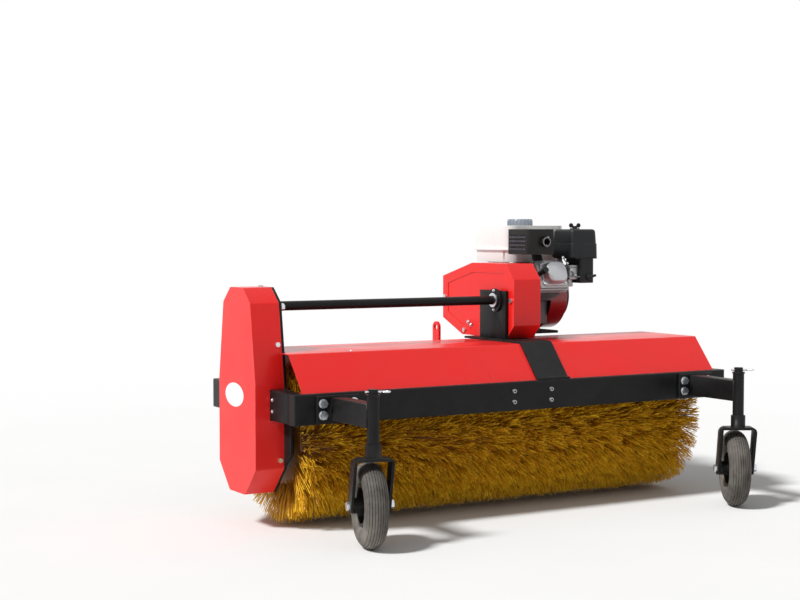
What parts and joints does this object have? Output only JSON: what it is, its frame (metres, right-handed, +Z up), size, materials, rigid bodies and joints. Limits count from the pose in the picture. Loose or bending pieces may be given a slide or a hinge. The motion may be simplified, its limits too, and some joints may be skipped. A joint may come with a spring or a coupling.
{
  "type": "power brush sweeper",
  "caption": "Engine-driven rotary broom: full-width bristle brush under a folded sheet hood, on a box frame with front casters, belt drives, small petrol engine and swinging rear hitch.",
  "frame": {"origin": "on the ground, under the middle of the whole machine's extents", "axes": "+Z up, +X along the brush from the drive case to the free end, -Y towards the casters, the front as it travels"},
  "size_m": [1.485, 0.9344, 0.8325],
  "materials": {
    "red_paint": "gloss",
    "black_paint": "satin",
    "zinc": "satin",
    "cast_alloy": "cast",
    "dark_steel": "satin",
    "tyre_rubber": "matte",
    "belt_rubber": "matte",
    "black_plastic": "matte",
    "grey_plastic": "matte",
    "bristle": "matte",
    "white_tank": "gloss",
    "muffler_steel": "matte"
  },
  "bodies": {
    "frame": {"front_beam": "black_paint", "left_side_tube": "black_paint", "right_side_tube": "black_paint", "rear_beam": "black_paint", "left_side_plate": "black_paint", "right_side_plate": "black_paint", "hood": "red_paint", "hood_strap": "black_paint", "engine_deck": "black_paint", "bearing_post": "black_paint", "flange_bearings": "dark_steel", "drive_case_cover": "red_paint", "belt_guard_cover": "red_paint", "belt_guard_back": "red_paint", "left_caster_arm": "black_paint", "right_caster_arm": "black_paint", "caster_arm_bolts": "zinc", "beam_screws": "zinc", "cover_screws": "zinc", "lifting_lug": "red_paint", "hitch_bracket": "black_paint", "engine_block": "cast_alloy", "cylinder_head": "cast_alloy", "valve_cover": "cast_alloy", "fan_cover": "red_paint", "starter_cover": "black_plastic", "fuel_tank": "white_tank", "carburettor": "cast_alloy", "air_cleaner_base": "black_plastic", "air_cleaner_cover": "black_plastic", "muffler": "muffler_steel", "muffler_guard": "muffler_steel", "spark_plug_cap": "black_plastic", "final_belt": "belt_rubber", "engine_belt": "belt_rubber"},
    "brush": {"brush_core": "dark_steel", "left_stub_axle": "dark_steel", "right_stub_axle": "dark_steel", "bristles": "bristle", "brush_pulley": "dark_steel"},
    "countershaft": {"drive_shaft": "black_paint", "shaft_pulley": "dark_steel", "final_pulley": "dark_steel"},
    "crank": {"crankshaft": "dark_steel", "clutch_pulley": "dark_steel"},
    "left_caster": {"left_fork": "black_paint", "left_axle": "zinc"},
    "left_wheel": {"left_tyre": "tyre_rubber", "left_rim": "black_paint"},
    "left_pin": {"left_lynch_pin": "zinc"},
    "right_caster": {"right_fork": "black_paint", "right_axle": "zinc"},
    "right_wheel": {"right_tyre": "tyre_rubber", "right_rim": "black_paint"},
    "right_pin": {"right_lynch_pin": "zinc"},
    "hitch": {"hitch_yoke": "black_paint"},
    "lock": {"hitch_lock_pin": "zinc"},
    "cap": {"fuel_cap": "grey_plastic"},
    "handle": {"starter_handle": "black_plastic"},
    "throttle": {"throttle_lever": "dark_steel"}
  },
  "joints": [
    {"name": "brush_spin", "type": "hinge", "parent": "frame", "child": "brush", "pos_m": [0.0215, 0.05224, 0.22], "axis": [1, 0, 0], "continuous": true},
    {"name": "countershaft_spin", "type": "hinge", "parent": "frame", "child": "countershaft", "pos_m": [0.0215, 0.05224, 0.593], "axis": [1, 0, 0], "continuous": true},
    {"name": "crank_spin", "type": "hinge", "parent": "frame", "child": "crank", "pos_m": [0.0215, 0.26425, 0.593], "axis": [1, 0, 0], "continuous": true},
    {"name": "left_caster_swivel", "type": "hinge", "parent": "frame", "child": "left_caster", "pos_m": [-0.5785, -0.39876, 0.3], "axis": [0, 0, 1], "continuous": true},
    {"name": "left_wheel_spin", "type": "hinge", "parent": "left_caster", "child": "left_wheel", "pos_m": [-0.56747, -0.3603, 0.11], "axis": [0.9613, -0.2756, 0], "continuous": true},
    {"name": "left_pin_pull", "type": "slide", "parent": "left_caster", "child": "left_pin", "axis": [0.9613, -0.2756, 0], "range_m": [0, 0.045]},
    {"name": "right_caster_swivel", "type": "hinge", "parent": "frame", "child": "right_caster", "pos_m": [0.6215, -0.39876, 0.3], "axis": [0, 0, 1], "continuous": true},
    {"name": "right_wheel_spin", "type": "hinge", "parent": "right_caster", "child": "right_wheel", "pos_m": [0.6421, -0.36447, 0.11], "axis": [0.8572, -0.515, 0], "continuous": true},
    {"name": "right_pin_pull", "type": "slide", "parent": "right_caster", "child": "right_pin", "axis": [0.8572, -0.515, 0], "range_m": [0, 0.045]},
    {"name": "hitch_swing", "type": "hinge", "parent": "frame", "child": "hitch", "pos_m": [0.0215, 0.35024, 0.339], "axis": [0, 0, 1], "range_deg": [-20, 20]},
    {"name": "lock_pin_push", "type": "slide", "parent": "hitch", "child": "lock", "axis": [0, 0, 1], "range_m": [0, 0.016]},
    {"name": "fuel_cap_turn", "type": "hinge", "parent": "frame", "child": "cap", "pos_m": [0.3395, 0.29224, 0.812], "axis": [0, 0, 1], "range_deg": [0, 90]},
    {"name": "starter_pull", "type": "slide", "parent": "frame", "child": "handle", "axis": [0, 1, 0], "range_m": [0, 0.5], "stiffness_N_per_m": 20},
    {"name": "throttle_turn", "type": "hinge", "parent": "frame", "child": "throttle", "pos_m": [0.4095, 0.18424, 0.663], "axis": [0, 1, 0], "range_deg": [-30, 30]}
  ],
  "couplings": [
    {"joint": "countershaft_spin", "follows": "brush_spin", "ratio": 3},
    {"joint": "crank_spin", "follows": "brush_spin", "ratio": 6.0508}
  ]
}
